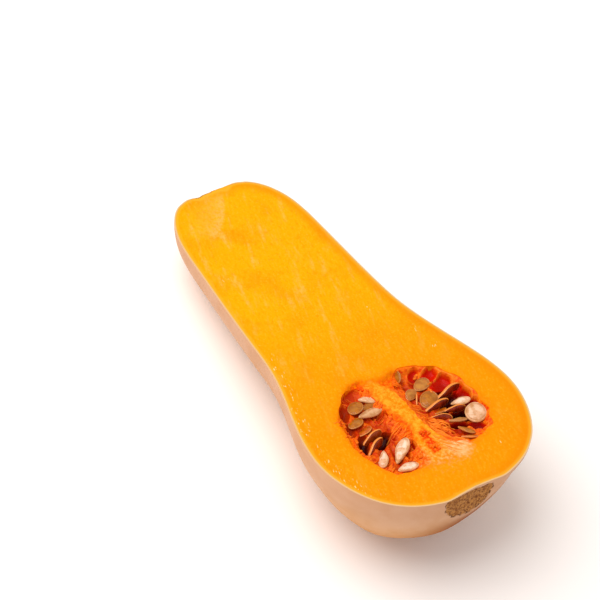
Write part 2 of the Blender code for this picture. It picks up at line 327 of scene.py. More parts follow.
def blossom_scar(v, w):
    """1 on the corky scar at the blossom end, falling to 0 at its ragged edge."""
    ragged = grain(np.stack((v, w, 0 * v), axis=1), 3, 21)
    below_rim = ease(-1, -2.2, w + 0.06 * (v + 4) - 0.5 * ragged)
    return ease(15.8, 13.8, np.hypot(v + 4, w + 3.4) + ragged) * below_rim


def distance_to(path, u, v):
    """How far places are from a line through points, in millimetres."""
    places = np.stack((u, v), axis=-1)
    best = np.full(len(places), np.inf)
    for start, end in zip(path, path[1:]):
        side = end - start
        part = np.clip(((places - start) @ side) / (side @ side), 0, 1)
        best = np.minimum(best, np.linalg.norm(places - start - part[:, None] * side, axis=1))
    return best


def to_edge(u, v):
    """How far places on the cut face are from the outline's edge, in millimetres."""
    return distance_to(outline, u, np.abs(v - sway(u)))


# %% [markdown]
# ## Meshes from points
# Each piece is made from rows of points, because the places are known by formulas. This helper
# makes the mesh, writes the attributes that its material reads, and takes it to where it lies.
# %% Make and settle a piece
def mesh_object(name, points, faces, merged=0):
    """A mesh in the squash's frame, in millimetres, with its faces turned outwards."""
    mesh = bpy.data.meshes.new(name)
    mesh.from_pydata(np.asarray(points).tolist(), [], faces)
    bm = bmesh.new()
    bm.from_mesh(mesh)
    if merged:
        bmesh.ops.remove_doubles(bm, verts=bm.verts, dist=merged)
        bmesh.ops.holes_fill(bm, edges=[edge for edge in bm.edges if edge.is_boundary], sides=0)
    bmesh.ops.recalc_face_normals(bm, faces=bm.faces)
    bm.to_mesh(mesh)
    print(f"{name}: {sum(edge.is_boundary for edge in bm.edges)} open edges")
    bm.free()
    return new_object(name, mesh)


def points_of(obj):
    """The places of a mesh's points, as rows of numbers."""
    places = np.empty(len(obj.data.vertices) * 3, np.float32)
    obj.data.vertices.foreach_get("co", places)
    return places.reshape(-1, 3).astype(float)


def settle(obj, finish, slot, replaced, sharp=40, **fields):
    """Give a piece its fields and finish, and take it from the squash's frame to its place. Its slot is not
    used.
    """
    mesh = obj.data
    places = points_of(obj)
    kept = mesh.attributes.new("place", "FLOAT_VECTOR", "POINT")
    kept.data.foreach_set("vector", places.astype(np.float32).ravel())
    for name, values in fields.items():
        field = mesh.attributes.new(name, "FLOAT", "POINT")
        field.data.foreach_set("value", np.asarray(values, np.float32))
    mesh.vertices.foreach_set("co", (to_world(places) * MM).astype(np.float32).ravel())
    mesh.update()
    mesh.materials.clear()
    mesh.materials.append(finish)
    mesh.shade_smooth()
    mesh.set_sharp_from_angle(angle=math.radians(sharp))
    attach(obj, "root")
    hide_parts(*replaced)
    triangles = sum(len(p.vertices) - 2 for p in mesh.polygons)
    print(f"{obj.name}: {len(mesh.vertices)} points, {triangles} triangles")


def grid_faces(rows, columns, start=0, closed=False):
    """The quads between rows of points. A closed row joins its last point to its first."""
    faces = []
    for i in range(rows - 1):
        a, b = start + i * columns, start + (i + 1) * columns
        for j in range(columns if closed else columns - 1):
            k = (j + 1) % columns
            faces.append((a + j, a + k, b + k, b + j))
    return faces


def body_faces(rows, columns, start=0):
    """The faces of a closed body: closed rows of points, then a tip for its start and its end."""
    tip = start + rows * columns
    faces = grid_faces(rows, columns, start, closed=True)
    for end, row in ((tip, start), (tip + 1, tip - columns)):
        faces += [(end, row + j, row + (j + 1) % columns) for j in range(columns)]
    return faces


# %% [markdown]
# ## The rind
# A butternut's rind is a smooth waxy skin about a millimetre thick, beige with a hint of pink,
# with faint lengthwise streaks. Where the knife went through, it shows as a pale line
# round the orange face. Here it is a closed shell between two turned half surfaces.
# %% Rind material
rind_finish, add = new_material("waxy_squash_rind")
place, u, v, w, edge, blossom, stem = read_fields(add, "edge", "blossom", "stem")
RIND_STREAK = (60, 5, 5)  # the streaks are about 60 mm long and 5 mm wide
RIND_MOTTLE = 16  # one soft patch of colour
RIND_GRAIN = 0.9  # the skin's fine grain, drawn a little coarser than it is, so that it shows
CORK_GRAIN, CORK_KNOT = 1.35, 4.5
streak = add("TexNoise", add("Mapping", place, Scale=RIND_STREAK, **SIZED), Scale=1, Detail=3)
mottle = add("TexNoise", place, Scale=1 / RIND_MOTTLE, Detail=4)
fine = add("TexNoise", place, Scale=1 / RIND_GRAIN, Detail=2)
corky_grain = add("TexNoise", place, Scale=1 / CORK_GRAIN, Detail=5, Roughness=0.65)
knot_grain = add("TexNoise", place, Scale=1 / CORK_KNOT, Detail=3)
# At the cut the rind is pale, with the colour of cream, and tinged with green towards the flesh.
rim = layered(add, "#d6b184", ("#d6ac5c", (edge, 0.35, 1)))
# The scars are cork: tan and ochre, with brown pits and knots, and a border of dark dots.
cork = layered(add, "#683408",
    ("#c08442", (corky_grain, 0.36, 0.6)), ("#8a4c08", (knot_grain, 0.52, 0.66, 0, 0.7)))
skin = layered(
    add, "#deb28c",
    ("#d6a67a", (mottle, 0.35, 0.68)),
    ("#e2ba96", (streak, 0.45, 0.75, 0, 0.4)),
    # Just under the cut the skin is painted a little darker, a painted shade. Lower down it is deeper and
    # more orange, partly its own tone and partly painted shade, and under the blossom end, which
    # faces away from the light, it is painted deep brown: painted shade.
    ("#c4957a", (w, -30, -8, 0, 0.5)),
    ("#c6833a", (w, -14, -50, 0, 0.9)),
    ("#8a4208", (w, -12, -30), (v, -40, 2, 0, 0.88), (u, 205, 236)),
    (rim, (w, -0.55, -0.12)),
    (cork, (blossom, 0.3, 0.75, 0, 0.92)),
    ("#5c3818", (blossom, 0.02, 0.3), (blossom, 0.9, 0.5), (corky_grain, 0.54, 0.44, 0, 0.9)),
    ("#a58a58", (stem, 0.3, 0.9, 0, 0.8)),
)
# Wax over a leathery skin: an IOR of 1.45, and a broad soft gloss.
finish_with(
    add, skin, (mottle, 0.3, 0.7, 0.5, 0.64), ((fine, 0.05, 0.5), (mottle, 0.5, 0.35)),
    IOR=1.45, Specular_IOR_Level=0.05,
)

# %% Rind shell
RIND_THICKNESS = 1.05
RIND_STEPS = 132  # round the half
FLOOR_SKIN = 0.25  # what is left of the rind where the squash rests
SWELL, SWELLINGS = 0.35, 10


def flattened(points, lowest):
    """Points below a height over the floor, lifted to it."""
    lift = np.maximum(lowest - to_world(points)[:, 2], 0)
    return points + lift[:, None] * (np.array(REST.to_3x3()).T @ np.array((0, 0, 1)))


def turned(profile, angles, lowest, drift):
    """Rows of points on a surface turned about the axis, one row for each point of the profile."""
    u = np.repeat(profile[:, 0], len(angles))
    r = np.repeat(profile[:, 1], len(angles))
    a = np.tile(angles, len(profile))
    # Shallow lengthwise swellings, as butternuts have, which fade at the cut and the ends.
    fade = SWELL * ease(8, 40, r) * np.sin(a) ** 2
    r = r - fade * (0.5 + 0.5 * np.cos(SWELLINGS * a + drift * u))
    points = np.stack((stem_groove(u, r, a), r * np.cos(a) + sway(u), r * np.sin(a)), axis=1)
    return flattened(tucked(points), lowest)


def corky(points):
    """Sink the scars at both ends a little, with the pits and knots of cork."""
    u, v, w = points.T
    blossom = blossom_scar(v, w) * (u > BLOSSOM_START)
    stem = ease(9.5, 8, np.hypot(v, w)) * (u < STEM_END)
    pits = 0.35 + 0.35 * grain(points, 1.8, 22, 4) + 0.2 * grain(points, 0.8, 23)
    knots = np.exp(-((np.hypot(v + 1, w + 7) / 4.5) ** 2))
    u = u - blossom * np.clip(pits + 0.5 * knots, 0, 0.9) + 0.3 * stem * np.clip(pits, 0, 0.9)
    return np.stack((u, v, w), axis=1)


def cut_relief(u, v):
    """How far the knife's face is off its plane near the rind: a fine tear along the edge."""
    return -0.05 - 0.1 * np.abs(grain(np.stack((u, v, 0 * u), axis=1), 3, 5))


half_round = np.linspace(0, -math.pi, RIND_STEPS + 1)
outside = corky(turned(outer, half_round, 0, 0.01))
inside = turned(drawn_in(outline, RIND_THICKNESS), half_round, FLOOR_SKIN, 0.01)
rows, columns = len(outline), len(half_round)
# Each row of the shell runs along its outside, and back along its inside.
shell = np.hstack((outside.reshape(rows, columns, 3), inside.reshape(rows, columns, 3)[:, ::-1]))
for column in (0, columns - 1, columns, 2 * columns - 1):
    shell[:, column, 2] += cut_relief(shell[:, column, 0], shell[:, column, 1])
faces = grid_faces(rows, 2 * columns, closed=True)
rind = mesh_object("rind", shell.reshape(-1, 3), faces, merged=0.004)
u, v, w = points_of(rind).T
settle(
    rind, rind_finish, "rind", ["squash_half"],
    edge=to_edge(u, v),
    blossom=blossom_scar(v, w) * (u > BLOSSOM_START),
    stem=ease(11, 8.5, np.hypot(v, w)) * (u < STEM_END) * ease(4, -6, v),
)

# %% [markdown]
# ## The two lobes of the seed cavity
# A squash has its seeds in lobes round a core. A lengthwise cut opens two of them, with a ridge
# of flesh left between. Each lobe has a rounded outline, and these functions
# say where a place is in it: 0 in the middle and 1 on the wall.
# %% Lobes
LOBES = {
    # name: (side, u of its middle, half length, inner wall, own axis, outer wall)
    "back": (1, 191.5, 28.5, 3, 14, 39.5),
    "front": (-1, 192.5, 30.5, 8, 17, 36),
}
LOBE_LEAN = 6
SQUARENESS = 2.6
SCALLOPS, SCALLOP_DEPTH = 15, 0.028


def superellipse(along, across):
    """1 on a lobe's outline, and less inside it."""
    return (np.abs(along) ** SQUARENESS + np.abs(across) ** SQUARENESS) ** (1 / SQUARENESS)


def lobe_place(lobe, along, across):
    """Places on the cut face from shares of a lobe's size: the unit disc fills the lobe."""
    side, middle, half_length, inner, axis, wall = LOBES[lobe]
    full = np.hypot(along, across) / np.maximum(superellipse(along, across), 1e-9)
    along, across = along * full, across * full
    u = middle + half_length * along + LOBE_LEAN * np.maximum(across, 0)
    v = axis + np.where(across > 0, across * (wall - axis), across * (axis - inner))
    return u, side * v


def lobe_share(lobe, u, v):
    """Where places are in a lobe: how far out, and the direction from its middle."""
    side, middle, half_length, inner, axis, wall = LOBES[lobe]
    across = (side * v - axis) / np.where(side * v > axis, wall - axis, axis - inner)
    along = (u - middle - LOBE_LEAN * np.maximum(across, 0)) / half_length
    return superellipse(along, across), np.arctan2(across, along)


def scallops(lobe, angle):
    """How the pockets of the seeds bulge a lobe's outline, as a share of its size."""
    outer_side = ease(0.1, 0.7, np.sin(angle))
    return 1 + SCALLOP_DEPTH * outer_side * np.cos(SCALLOPS * angle + (0.6 if lobe == "back" else 2))


# The rim of the whole cavity on the cut face. It runs round both lobes and the ridge's stem end.
CAVITY_RIM = (
    (160.5, -16.4), (160.4, -10), (163, -4), (163.9, 3.4), (162.5, 9.6), (165, 16),
    (167.1, 21.8), (170.4, 26.3), (175.1, 31), (180.5, 34.6), (186.3, 38), (193.9, 39.3),
    (200.4, 39.9), (207.3, 39.3), (214.6, 34.9), (219.9, 28.4), (222.4, 21.9), (224.5, 14),
    (226.5, 4), (226, -7), (225, -18.7), (222.2, -29.2), (216, -34.3), (209.4, -37),
    (203.5, -38.6), (197.2, -39.3), (188.4, -38), (178.5, -35.8), (173.3, -31.9), (168.7, -27),
    (165, -23.3),
)
cavity_rim = through([*CAVITY_RIM, CAVITY_RIM[0]], 1.5)


def inside_rim(u, v):
    """How far places are inside the cavity's rim, in millimetres, and negative outside it."""
    inside = np.zeros(len(u), bool)
    for start, end in zip(cavity_rim, cavity_rim[1:]):
        spans = (start[1] > v) != (end[1] > v)
        crossing = start[0] + (v - start[1]) / (end[1] - start[1] + 1e-12) * (end[0] - start[0])
        inside ^= spans & (u < crossing)
    return np.where(inside, 1, -1) * distance_to(cavity_rim, u, v)


print("lobes:", ", ".join(LOBES))

# %% [markdown]
# ## The flesh
# Butternut flesh is firm and juicy, evenly orange, and cut it has a moist half-gloss with faint
# drag marks of the knife. It deepens to red-orange round the cavity, and is pale and fibrous
# towards the blossom end. The colours are mixed by how far a point is from the rind and from
# the cavity, so the bands follow the shape.
# %% Flesh material
flesh_finish, add = new_material("cut_squash_flesh")
place, u, v, w, edge, cavity, crest, fibrous, smear, juice, raw = read_fields(
    add, "edge", "cavity", "crest", "fibrous", "smear", "juice", "raw"
)
KNIFE_TURN, FIBRE_TURN = ((0, 0, math.radians(turn)) for turn in (-18, 52))
mark, thread, fibre, fleck = (
    add("TexNoise", add("Mapping", place, Rotation=turn, Scale=size, **SIZED), Scale=1, **settings)
    for size, turn, settings in (
        ((26, 6.5, 20), KNIFE_TURN, {"Detail": 4, "Roughness": 0.6}),  # a drag mark, 26 mm long
        ((3.6, 1.7, 1.7), KNIFE_TURN, {"Detail": 3, "Roughness": 0.6}),  # threads, over 1 mm wide
        ((4, 1.2, 1.2), FIBRE_TURN, {"Detail": 4, "Roughness": 0.6}),  # fibres in the torn zones
        ((3.2, 1, 1), KNIFE_TURN, {"Detail": 2}),  # flecks of juice
    )
)
FLESH_CLOUD, FLESH_GRANULE, FLESH_CELL = 26, 2, 1.1  # clouds of colour, torn granules, cut cells
cloud = add("TexNoise", place, Scale=1 / FLESH_CLOUD, Detail=4)
granule = add("TexNoise", place, Scale=1 / FLESH_GRANULE, Detail=4, Roughness=0.6)
cell = add("TexNoise", place, Scale=1 / FLESH_CELL, Detail=2)

# %% Colours of the flesh
# Inside the cavity's rim, which isn't a sharp line, the flesh is torn: red-orange, with a paler
# crest on the ridge, raw red places, and pale fibres at the ridge's blossom end.
near = add("Math", cavity, product(add, (granule, 0.3, 0.7, -1.6, 1.6)), operation="ADD")
ridge = layered(add, "#f07c00", ("#f7a026", (granule, 0.35, 0.65)))
torn = layered(
    add, "#e04a02",
    ("#f2780a", (granule, 0.35, 0.65)),
    (ridge, (crest, 0.1, 0.6)),
    ("#dc3402", raw, (granule, 0.42, 0.62, 1, 0.45)),
)
pale = layered(add, "#f2984a", ("#f7bb82", (fibre, 0.38, 0.62)))
paled = add("Math", fibrous, add("MapRange", granule, 0.3, 0.7, -0.3, 0.3), operation="ADD")
paled = add("Math", paled, add("Math", raw, 0.6, **TIMES), operation="SUBTRACT")
flesh = layered(
    add, "#f5a300",
    # The neck is yellower than the bulb, with clouds of deeper orange in both.
    ("#f08c00", (u, 80, 190)),
    ("#ee8400", (cloud, 0.45, 0.75, 0, 0.5)),
    # Threads and cells give it a fine grain, and the knife has left paler smears on the neck.
    ("#ea7e00", (thread, 0.5, 0.3, 0, 0.35)),
    ("#f9b12a", (thread, 0.52, 0.72, 0, 0.28)),
    ("#f9b83c", (cell, 0.56, 0.76, 0, 0.35)),
    ("#e67e00", (cell, 0.44, 0.24, 0, 0.4)),
    ("#f8b75e", (mark, 0.52, 0.74), (u, 178, 100, 0.1, 0.6), (granule, 0.36, 0.6, 0.25, 1)),
    ("#f5b468", smear, (granule, 0.36, 0.6, 0.125, 0.5)),
    # A deeper band lies a few millimetres inside the rind, and a green-yellow line right against it.
    ("#ec7e00", (edge, 9, 3), (v, -20, 30, 0.1, 0.55)),
    ("#e2a82c", (edge, 3.2, 1.2, 0, 0.75)),
    ("#fbdc9c", juice, (fleck, 0.62, 0.69, 0, 0.9)),
    # It deepens just outside the cavity's rim. The walls of the lobes are red, because the pulp
    # was torn from them.
    ("#ee7400", (near, -4.5, 0.5, 0, 0.5)),
    (torn, (near, 0.4, 2.2)),
    (pale, (paled, 0.15, 1, 0, 0.95)),
    ("#c01e02", (w, -2.6, -5.2), (v, 8, -8, 0.45, 1)),
    # Deep in the lobes the walls are painted dark red-brown: painted shade.
    ("#7a0c00", (w, -5, -9)),
)
# Juice over cells: an IOR near 1.38. The gloss is kept low, because the photograph's orange is
# nearly free of the white that a glossy coat would add.
finish_with(
    add, flesh, (mark, 0.3, 0.7, 0.38, 0.55), ((cell, 0.12, 0.7), (thread, 0.2, 0.4), (mark, 0.3, 0.4)),
    IOR=1.38, Specular_IOR_Level=0.04,
)

# %% [markdown]
# ### The shape of the flesh
# The body is the turned inside of the rind. A block with a fine grid as its lower face is the
# knife: cutting with it leaves its relief on the face. Two more cutters hollow out the lobes.
# Blender's manifold Boolean does such fine meshes in a moment.
# %% Relief of the cut face
KNIFE_HEIGHT = 75
RIDGE_CREST = ((160, -8), (165, -7), (175, -2.8), (187, 1.1), (198, 2.8), (208, 0.5), (226, -1))


def ridge_share(u, v):
    """1 on the crest of the ridge between the lobes, and 0 on the lobes' edges."""
    crest = np.interp(u, *zip(*RIDGE_CREST))
    wide = 9 + 4 * ease(200, 212, u)  # the ridge widens where it joins the flesh again
    return ease(1, 0.17, np.abs(v - crest) / wide) * ease(160, 168, u)


def fibre_share(u, v):
    """How fibrous and pale the flesh is: most beyond the ridge's blossom end, and fading all round."""
    strong = ease(1.3, 0.3, np.hypot((u - 222) / 10, (v - 9) / 8.5))
    weak = ease(1.3, 0.2, np.hypot((u - 221) / 15, (v + 1) / 18))
    return np.maximum(strong, 0.42 * weak)


def raw_share(u, v):
    """1 where the flesh in the cavity is torn raw and red: on its near flank and in a band on the ridge."""
    flank = ease(-5, -13, v) * ease(184, 172, u)
    band = ease(4.2, 1, np.abs(v + 1.5 + 0.1 * (u - 204)))
    return np.maximum(flank, band * ease(201, 206, u) * ease(223, 219, u))


def smear_share(u, v):
    """1 on the pale smear beside the knife's line at the stem end, and 0 away from it."""
    along = ((u - 8) * 26 - (v - 4) * 22) / 34
    across = ((u - 8) * 22 + (v - 4) * 26) / 34
    bow = 2.5 * np.sin(np.clip(along / 34, 0, 1) * math.pi)  # the knife's line is a little bowed
    ends = ease(-8, 4, along) * ease(38, 28, along)
    line = ease(1, -0.4, across - bow)
    return ends * line * (0.4 * ease(-18, -2, across) + 0.6 * ease(-6, -0.5, across - bow))


def juice_share(u, v):
    """1 along the rind's edge on the near side of the bulb, where white flecks of juice stand."""
    edge = to_edge(u, v)
    near = ease(1.8, 3, edge) * ease(9, 4, edge) * (v < 0)
    near = near * ease(105, 140, u) * ease(236, 215, u)
    spots = [np.hypot(u - a, v - b) for a, b in ((144, 40), (158, 41), (232, 30), (64, -30), (118, 25))]
    return np.maximum(near, ease(3.2, 1, np.min(spots, axis=0)))


def face_relief(u, v):
    """The height of the cut face over its plane, in millimetres."""
    flat = np.stack((u, v, 0 * u), axis=1)
    height = -0.06 + 0.05 * grain(flat, 9, 1) + 0.03 * grain(flat, 1.6, 2)
    height -= 0.25 * ease(2.2, 0.2, to_edge(u, v))
    # Inside the cavity's rim the face is torn and sunk, least on the ridge and at its blossom end.
    sunk = 2.6 - 1.7 * ridge_share(u, v)
    sunk *= 1 - 0.9 * ease(200, 216, u) * ease(19, 11, np.abs(v - 1))
    inside = ease(-0.6, 2.4, inside_rim(u, v) + 0.8 * grain(flat, 5, 6))
    height -= sunk * inside
    lumps = 0.75 * grain(flat, 3.6, 3, 4)
    strands = 0.6 * grain(flat * (0.45, 1, 1), 1.7, 4, 4)
    fibres = fibre_share(u, v)
    return height + inside * (lumps * (1 - fibres) + strands * fibres)


def graded(*stretches):
    """Grid lines: (from, to, spacing) for each stretch, one after the other."""
    lines = [np.arange(start, end, spacing) for start, end, spacing in stretches]
    return np.append(np.concatenate(lines), stretches[-1][1])


def knife_block():
    """A block above the cut face whose lower side carries the face's relief."""
    us = graded((-6, 150, 1.6), (150, 236, 0.55), (236, 256, 1.2))
    vs = graded((-68, -44, 1.5), (-44, 44, 0.6), (44, 68, 1.5))
    u, v = (g.ravel() for g in np.meshgrid(us, vs, indexing="ij"))
    grid = np.stack((u, v, face_relief(u, v)), axis=1)
    index = np.arange(len(grid)).reshape(len(us), len(vs))
    border = (index[:-1, 0], index[-1, :-1], index[:0:-1, -1], index[0, :0:-1])
    border = np.concatenate(border).tolist()
    top = grid[border] * (1, 1, 0) + (0, 0, KNIFE_HEIGHT)
    above = list(range(len(grid), len(grid) + len(border)))
    sides = list(zip(border, border[1:] + border[:1], above[1:] + above[:1], above))
    return mesh_object("knife", np.vstack((grid, top)), grid_faces(*index.shape) + sides + [tuple(above)])


# %% Cutters and the Boolean
FLESH_GAP = 0.02
FLESH_STEPS = 200  # all the way round
LOBE_DEPTH = 30


def turned_body(profile, steps):
    """A closed body turned about the axis, from a profile that starts and ends on it."""
    angles = (np.arange(steps) + 0.5) * math.tau / steps
    around = turned(profile[1:-1], angles, FLOOR_SKIN + FLESH_GAP, -0.01)
    ends = [(u, sway(u), 0) for u in profile[[0, -1], 0]]
    return mesh_object("flesh", np.vstack((around, ends)), body_faces(len(profile) - 2, steps))


def lobe_cutter(lobe, segments=220, rings=44):
    """The body that hollows out a lobe: straight above the face, and round below it."""
    angles = np.arange(segments) * math.tau / segments
    falls = np.linspace(0, 0.5, rings)[:-1] * math.pi
    levels = np.concatenate(([12, 4], -LOBE_DEPTH * np.sin(falls)))
    shares = np.concatenate(([1, 1], np.cos(falls)))
    rows = []
    for level, part in zip(levels, shares):
        bulge = scallops(lobe, angles) * part
        u, v = lobe_place(lobe, np.cos(angles) * bulge, np.sin(angles) * bulge)
        row = np.stack((u, v, np.full(segments, level)), axis=1)
        wobble = 0.35 * grain(row, 6, 7)
        aside = np.stack((np.cos(angles), LOBES[lobe][0] * np.sin(angles), 0 * angles), axis=1)
        rows.append(row + aside * wobble[:, None])
    u, v = lobe_place(lobe, 0, 0)
    points = np.vstack((*rows, [(u, v, levels[0]), (u, v, -LOBE_DEPTH)]))
    return mesh_object("lobe_cutter", points, body_faces(len(rows), segments))


def cut(obj, cutters):
    """Take the cutters out of an object, and remove them."""
    for cutter in cutters:
        boolean = obj.modifiers.new("cut", "BOOLEAN")
        boolean.operation = "DIFFERENCE"
        boolean.solver = "MANIFOLD"
        boolean.object = cutter
    graph = bpy.context.evaluated_depsgraph_get()
    result = bpy.data.meshes.new_from_object(obj.evaluated_get(graph))
    obj.modifiers.clear()
    obj.data = result
    for cutter in cutters:
        bpy.data.objects.remove(cutter)


flesh_body = turned_body(drawn_in(outline, RIND_THICKNESS + FLESH_GAP), FLESH_STEPS)
cut(flesh_body, [knife_block(), *(lobe_cutter(lobe) for lobe in LOBES)])
u, v, _ = points_of(flesh_body).T
settle(
    flesh_body, flesh_finish, "flesh", ["squash_half"],
    edge=to_edge(u, v), cavity=inside_rim(u, v), crest=ridge_share(u, v), fibrous=fibre_share(u, v),
    smear=smear_share(u, v), juice=juice_share(u, v), raw=raw_share(u, v),
)

# %% [markdown]
# ## The pulp
# Wet stringy pulp fills each lobe to a sunken, ribbed top. Where a seed was pulled out or cut away it
# has left a smooth red pocket with a thin wall. The top is a surface of heights over the lobe:
# a sunken floor, ribs, the pockets as round hollows, and lips round them.
# %% Pulp material
pulp_finish, add = new_material("wet_squash_pulp")
place, _, v, w, hollow, lip, blend = read_fields(add, "hollow", "lip", "blend")
PULP_FIBRE = (2.6, 0.7, 1.2)  # a string is about 3 mm long before it bends, and under 1 mm wide
PULP_TURN = (0, 0, 0.6)
PULP_LUMP = 2.2
fibre_place = add("Mapping", place, Rotation=PULP_TURN, Scale=PULP_FIBRE, **SIZED)
fibre = add("TexNoise", fibre_place, Scale=1, Detail=4, Roughness=0.6)
lump = add("TexNoise", place, Scale=1 / PULP_LUMP, Detail=3)
# The pockets are painted darker the deeper they go, a painted shade, and lighter near their top, a painted
# light.
pocket = layered(
    add, "#cc1700",
    ("#8c0800", (w, -4.5, -7.5)),
    ("#e03e04", (w, -4.8, -3, 0, 0.7)),
    ("#c0420a", (v, 2, -8, 0, 0.55)),
)
shoulder = layered(add, "#d8460a", ("#ee7c14", (fibre, 0.35, 0.65)))
pulp = layered(
    add, "#f2740a",
    ("#d63a02", (lump, 0.35, 0.65)),
    ("#f88c1a", (fibre, 0.5, 0.72, 0, 0.7)),
    # Deeper down it is redder, because less light gets there and more juice does.
    ("#a81600", (w, -3.6, -6.6, 0, 0.9)),
    (pocket, (hollow, 0.2, 0.9)),
    # Lowest of all the pulp is painted nearly black: painted shade.
    ("#3c0200", (w, -7, -10)),
    ("#f68a28", lip, (lump, 0.3, 0.6, 0.6, 1)),
    (shoulder, blend),
)
# Juice has the IOR of water with sugar in it, and makes a soft wet gloss.
finish_with(
    add, pulp, (lump, 0.3, 0.7, 0.26, 0.42), ((fibre, 0.35, 0.5), (lump, 0.6, 0.3)),
    IOR=1.38, Specular_IOR_Level=0.12,
)

# %% Pulp surface
HOLLOWS = {
    # (u, v, w, length, width, depth, heading, lip): the pockets that lost seeds have left, and how
    # far a thin wall stands up round each
    "back": (
        (168.8, 19.5, -3, 7, 5, 6, 120, 0.3), (173.2, 27, -2.6, 10, 7.5, 6, 112, 1),
        (181.3, 29, -3, 13, 9.6, 7, 108, 1), (187.6, 35, -3, 6, 4.5, 6, 95, 0.6),
        (192.5, 33.6, -3.6, 10, 8.5, 8, 92, 1), (195, 24.5, -6.5, 15, 6, 11, 92, 0),
        (202.5, 27, -6.8, 14, 7, 12, 80, 0), (199.8, 35.2, -3.6, 7, 6, 7, 85, 0.8),
        (213, 29, -3.6, 10, 5.5, 8, 46, 0.6), (186, 23, -6, 12, 5, 9, 100, 0),
        (172.2, 6.1, -1.8, 4, 2.8, 7, 60, 0), (208, 22, -5.5, 12, 4, 9, 62, 0),
        (205.4, 15.6, -3.6, 8, 1.7, 6, 78, 0), (208, 16.2, -3.6, 8, 1.6, 6, 74, 0),
        (215, 18, -3.2, 7, 1.7, 6, 76, 0), (211.2, 16.2, -3.4, 5, 1.4, 6, 74, 0),
        (190, 27.6, -5.8, 13, 5, 10, 98, 0),
    ),
    "front": (
        (166.5, -18.5, -2.5, 14, 9, 7, 102, 0), (173.5, -28, -4, 11, 6, 8, -35, 0),
        (184.6, -11.6, -2.6, 9.5, 3.8, 7, 102, 0.4), (197, -20, -6, 14, 7, 11, 120, 0),
        (195.5, -30.8, -5, 14, 6, 11, 150, 0), (209, -10.4, -2.6, 7, 4.5, 9, 125, 0.2),
        (184, -31, -4, 11, 5, 8, 160, 0),
    ),
}
PULP_SUNK = 5.6
PULP_REACH = 1.012  # the pulp goes a little into the lobe's wall, so that no slit shows
PULP_SIDE, PULP_FOOT = 5, -24  # how far its side goes down, and where its lowest point is
RIB_HEIGHT, RIBS = 0.7, 10
SQUARE_POCKET = 2.4  # 2 would be an ellipse


def pulp_top(lobe, share, angle, u, v):
    """The pulp's height, how deep in a pocket each place is, and how much it is a pocket's lip."""
    flat = np.stack((u, v, 0 * u), axis=1)
    ridge_side = ease(-0.1, -0.8, np.sin(angle))
    starts = 0.72 - 0.42 * ridge_side  # the pulp rises gently to the ridge, and steeply to the outer wall
    rise = ease(0, 1, (share - starts) / (1 - starts))
    edge = face_relief(u, v) - 0.12 - 0.3 * (1 - ridge_side)
    height = -PULP_SUNK + (edge + PULP_SUNK) * rise
    height += RIB_HEIGHT * (ease(0.1, 0.5, share) - rise) * np.cos(RIBS * angle)
    rough = 1 - ease(0.9, 1, share)
    height += rough * (0.8 * grain(flat, 4, 11) + 0.3 * grain(flat * (0.5, 1, 1), 1.5, 12))
    hollow, lip = np.zeros(len(u)), np.zeros(len(u))
    warp = 1 + 0.16 * grain(flat, 3, 13)
    for hu, hv, hw, length, width, depth, heading, wall in HOLLOWS[lobe]:
        turn = math.radians(heading)
        x = (u - hu) * math.cos(turn) + (v - hv) * math.sin(turn)
        y = (v - hv) * math.cos(turn) - (u - hu) * math.sin(turn)
        reach = np.abs(x / (length / 2)) ** SQUARE_POCKET + np.abs(y / (width / 2)) ** SQUARE_POCKET
        reach = reach ** (1 / SQUARE_POCKET) * warp
        bowl = hw - depth / 2 * np.sqrt(np.clip(1 - reach**2, 0, 1))
        inside = ease(1.06, 0.88, reach)
        height = height * (1 - inside) + np.minimum(bowl, height) * inside
        hollow = np.maximum(hollow, inside)
        ring = wall * np.exp(-(((reach - 1.12) / 0.09) ** 2))
        height += ring * np.clip(-0.6 - height, 0, 1.6) * 0.8
        lip = np.maximum(lip, ring)
    return np.minimum(height, -0.2), hollow, lip * (1 - hollow)


def pulp_bed(lobe, segments=300, rings=86):
    """The pulp of one lobe: its top as rings of points, and a plain body below."""
    angles = np.tile(np.arange(segments) * math.tau / segments, rings)
    shares = np.repeat(np.linspace(0, 1, rings + 1)[1:], segments)
    out = shares * scallops(lobe, angles) * PULP_REACH
    u, v = lobe_place(lobe, np.cos(angles) * out, np.sin(angles) * out)
    height, hollow, lip = pulp_top(lobe, shares, angles, u, v)
    u0, v0 = lobe_place(lobe, 0, 0)
    top = np.stack((u, v, height), axis=1)
    below = top[-segments:] - (0, 0, PULP_SIDE)
    ends = [(u0, v0, height[:segments].mean()), (u0, v0, PULP_FOOT)]
    bed = mesh_object(f"pulp_{lobe}", np.vstack((top, below, ends)), body_faces(rings + 1, segments))
    shoulder = ease(0.55, 1, shares) * ease(-0.1, -0.7, np.sin(angles))
    plain = np.zeros(segments + 2)
    fields = {"hollow": hollow, "lip": lip, "blend": shoulder}
    fields = {name: np.concatenate((values, plain)) for name, values in fields.items()}
    settle(bed, pulp_finish, "pulp", [f"seed_bed_{lobe}"], **fields)


for lobe in LOBES:
    pulp_bed(lobe)

